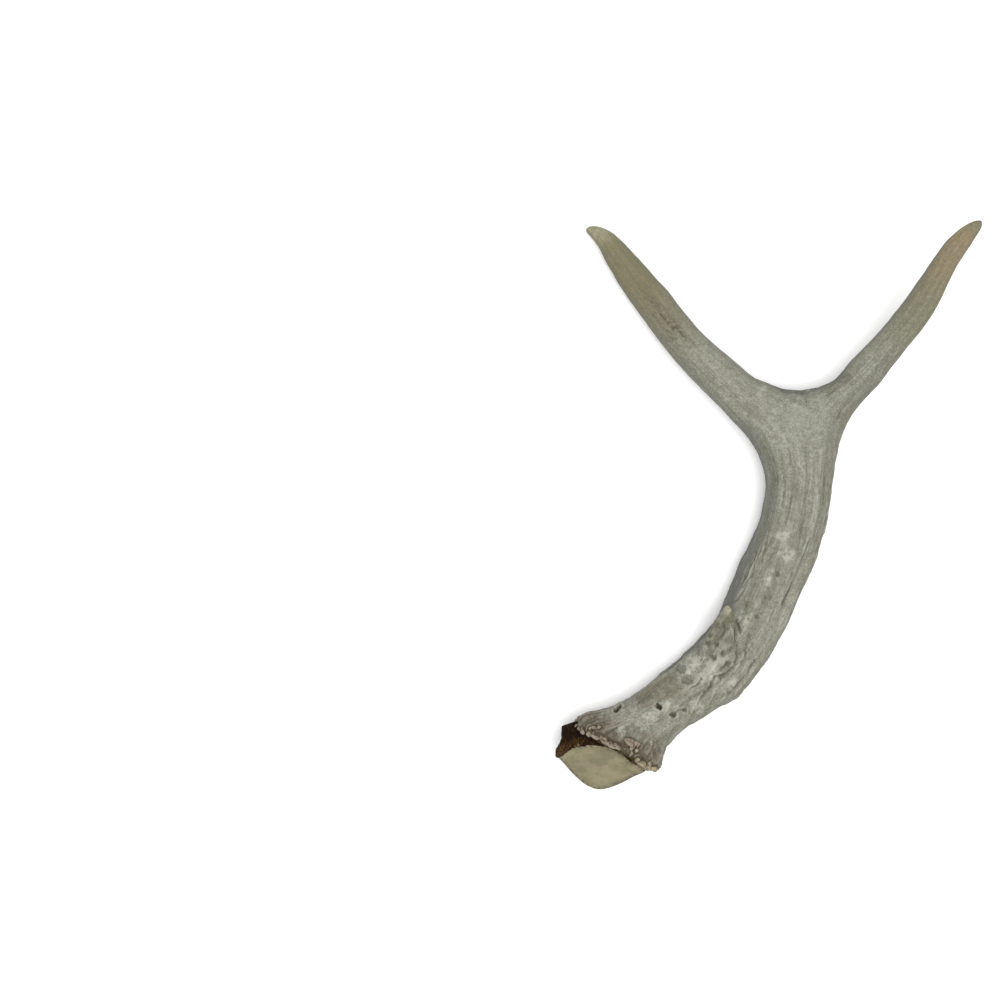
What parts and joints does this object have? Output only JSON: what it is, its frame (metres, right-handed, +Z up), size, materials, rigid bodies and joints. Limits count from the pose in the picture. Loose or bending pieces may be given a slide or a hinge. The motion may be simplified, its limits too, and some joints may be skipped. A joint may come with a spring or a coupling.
{
  "type": "deer antler",
  "caption": "Forked deer antler sawn from the skull: a beaded burr and a curved beam with a small brow nub, ending in a long and a short pointed tine, lying on its outer side.",
  "frame": {"origin": "middle of the antler's footprint, on the surface that it lies on", "axes": "+Y the long way, from the sawn base towards the tines; +X towards the short tine; +Z up, with the short tine rising"},
  "size_m": [0.1714, 0.2388, 0.055],
  "materials": {
    "beam_bone": "matte, streaked along the grain",
    "long_tine_bone": "matte, slightly polished towards the tip",
    "short_tine_bone": "matte, slightly polished towards the tip"
  },
  "bodies": {
    "root": {"main_beam": "beam_bone", "long_tine": "long_tine_bone", "short_tine": "short_tine_bone"}
  },
  "joints": []
}
